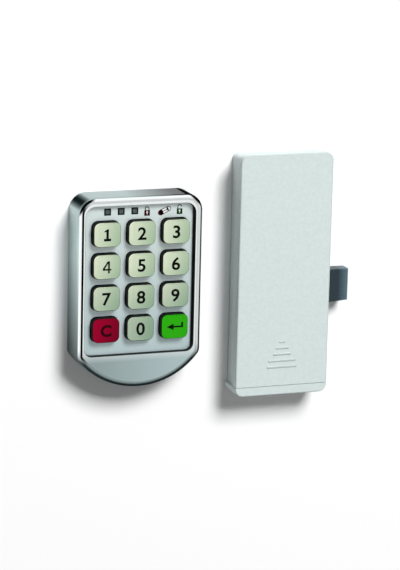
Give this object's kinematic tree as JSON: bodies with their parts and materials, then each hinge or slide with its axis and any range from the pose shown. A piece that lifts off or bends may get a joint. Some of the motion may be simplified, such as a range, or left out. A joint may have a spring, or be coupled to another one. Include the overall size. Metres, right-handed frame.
{
  "type": "electronic cabinet lock",
  "caption": "Keypad unit with sprung keys for the outside of a cabinet door, and an inner unit whose motor-driven bolt slides out of a battery case with a sliding cover.",
  "frame": {"origin": "middle of the kit's footprint, on the plane of both mounting faces", "axes": "+Z out of the mounting faces, towards the keys; +Y towards the top of the keypad; +X towards the bolt's tip"},
  "size_m": [0.146, 0.1238, 0.0177],
  "materials": {
    "zinc_casting": "satin chrome plating on a zinc casting",
    "silver_plate": "fine matt silver",
    "dark_window": "dark translucent acrylic",
    "light_emitter": "clear epoxy on white",
    "silicone": "matt silicone rubber",
    "circuit_board": "green solder mask",
    "chip_package": "black epoxy",
    "black_moulding": "black moulded nylon",
    "socket_moulding": "natural moulded nylon",
    "plated_steel": "zinc plated steel",
    "black_foam": "closed-cell foam",
    "brass": "turned brass",
    "white_moulding": "pale grey moulded ABS with a fine matt texture",
    "motor_steel": "drawn steel can",
    "dark_bolt_steel": "dark grey plated steel",
    "key_metallic": "pale champagne metallic lacquer on moulded ABS",
    "key_red": "crimson lacquer on moulded ABS",
    "key_green": "green lacquer on moulded ABS",
    "lead_insulation": "soft red and black PVC insulation",
    "cell_jacket": "printed jacket of an AAA cell, left plain"
  },
  "bodies": {
    "root": {"keypad_housing": "zinc_casting", "face_plate": "silver_plate", "status_windows": "dark_window", "status_lights": "light_emitter", "key_mat": "silicone", "key_domes": "silicone", "keypad_board": "circuit_board", "keypad_chips": "chip_package", "buzzer": "black_moulding", "keypad_cable_socket": "socket_moulding", "back_plate": "plated_steel", "foam_seal": "black_foam", "threaded_inserts": "brass", "board_screws": "plated_steel", "back_plate_screws": "plated_steel", "lock_base": "white_moulding", "gearbox": "brass", "motor": "motor_steel", "motor_end_cap": "black_moulding", "motor_cradle": "white_moulding", "bolt_guide_plate": "plated_steel", "guide_screws": "plated_steel", "lock_board": "circuit_board", "lock_board_screws": "plated_steel", "lock_board_parts": "chip_package", "lock_cable_socket": "socket_moulding", "position_switch": "black_moulding", "battery_1": "cell_jacket", "battery_2": "cell_jacket", "battery_3": "cell_jacket", "battery_4": "cell_jacket", "contact_plates": "plated_steel", "contact_springs": "plated_steel", "motor_leads": "lead_insulation", "battery_leads": "lead_insulation"},
    "key_1": {"key_1": "key_metallic"},
    "key_2": {"key_2": "key_metallic"},
    "key_3": {"key_3": "key_metallic"},
    "key_4": {"key_4": "key_metallic"},
    "key_5": {"key_5": "key_metallic"},
    "key_6": {"key_6": "key_metallic"},
    "key_7": {"key_7": "key_metallic"},
    "key_8": {"key_8": "key_metallic"},
    "key_9": {"key_9": "key_metallic"},
    "key_c": {"key_c": "key_red"},
    "key_0": {"key_0": "key_metallic"},
    "key_enter": {"key_enter": "key_green"},
    "bolt": {"bolt": "dark_bolt_steel", "bolt_rack": "white_moulding", "rack_rivets": "plated_steel"},
    "pinion": {"drive_pinion": "brass", "output_shaft": "plated_steel"},
    "cover": {"battery_cover": "white_moulding"}
  },
  "joints": [
    {"name": "key_1_press", "type": "slide", "parent": "root", "child": "key_1", "axis": [0, 0, -1], "range_m": [0, 0.001], "stiffness_N_per_m": 300, "springref_m": -0.0005, "deforming": ["key_domes"]},
    {"name": "key_2_press", "type": "slide", "parent": "root", "child": "key_2", "axis": [0, 0, -1], "range_m": [0, 0.001], "stiffness_N_per_m": 300, "springref_m": -0.0005, "deforming": ["key_domes"]},
    {"name": "key_3_press", "type": "slide", "parent": "root", "child": "key_3", "axis": [0, 0, -1], "range_m": [0, 0.001], "stiffness_N_per_m": 300, "springref_m": -0.0005, "deforming": ["key_domes"]},
    {"name": "key_4_press", "type": "slide", "parent": "root", "child": "key_4", "axis": [0, 0, -1], "range_m": [0, 0.001], "stiffness_N_per_m": 300, "springref_m": -0.0005, "deforming": ["key_domes"]},
    {"name": "key_5_press", "type": "slide", "parent": "root", "child": "key_5", "axis": [0, 0, -1], "range_m": [0, 0.001], "stiffness_N_per_m": 300, "springref_m": -0.0005, "deforming": ["key_domes"]},
    {"name": "key_6_press", "type": "slide", "parent": "root", "child": "key_6", "axis": [0, 0, -1], "range_m": [0, 0.001], "stiffness_N_per_m": 300, "springref_m": -0.0005, "deforming": ["key_domes"]},
    {"name": "key_7_press", "type": "slide", "parent": "root", "child": "key_7", "axis": [0, 0, -1], "range_m": [0, 0.001], "stiffness_N_per_m": 300, "springref_m": -0.0005, "deforming": ["key_domes"]},
    {"name": "key_8_press", "type": "slide", "parent": "root", "child": "key_8", "axis": [0, 0, -1], "range_m": [0, 0.001], "stiffness_N_per_m": 300, "springref_m": -0.0005, "deforming": ["key_domes"]},
    {"name": "key_9_press", "type": "slide", "parent": "root", "child": "key_9", "axis": [0, 0, -1], "range_m": [0, 0.001], "stiffness_N_per_m": 300, "springref_m": -0.0005, "deforming": ["key_domes"]},
    {"name": "key_c_press", "type": "slide", "parent": "root", "child": "key_c", "axis": [0, 0, -1], "range_m": [0, 0.001], "stiffness_N_per_m": 300, "springref_m": -0.0005, "deforming": ["key_domes"]},
    {"name": "key_0_press", "type": "slide", "parent": "root", "child": "key_0", "axis": [0, 0, -1], "range_m": [0, 0.001], "stiffness_N_per_m": 300, "springref_m": -0.0005, "deforming": ["key_domes"]},
    {"name": "key_enter_press", "type": "slide", "parent": "root", "child": "key_enter", "axis": [0, 0, -1], "range_m": [0, 0.001], "stiffness_N_per_m": 300, "springref_m": -0.0005, "deforming": ["key_domes"]},
    {"name": "bolt_slide", "type": "slide", "parent": "root", "child": "bolt", "axis": [-1, 0, 0], "range_m": [0, 0.0125]},
    {"name": "pinion_spin", "type": "hinge", "parent": "root", "child": "pinion", "pos_m": [0.0295, -0.013, 0.0094], "axis": [0, 1, 0], "range_deg": [-1, 200]},
    {"name": "cover_slide", "type": "slide", "parent": "root", "child": "cover", "axis": [0, 1, 0], "range_m": [0, 0.01]}
  ],
  "couplings": [
    {"joint": "pinion_spin", "follows": "bolt_slide", "rad_per_m": 277.78}
  ]
}
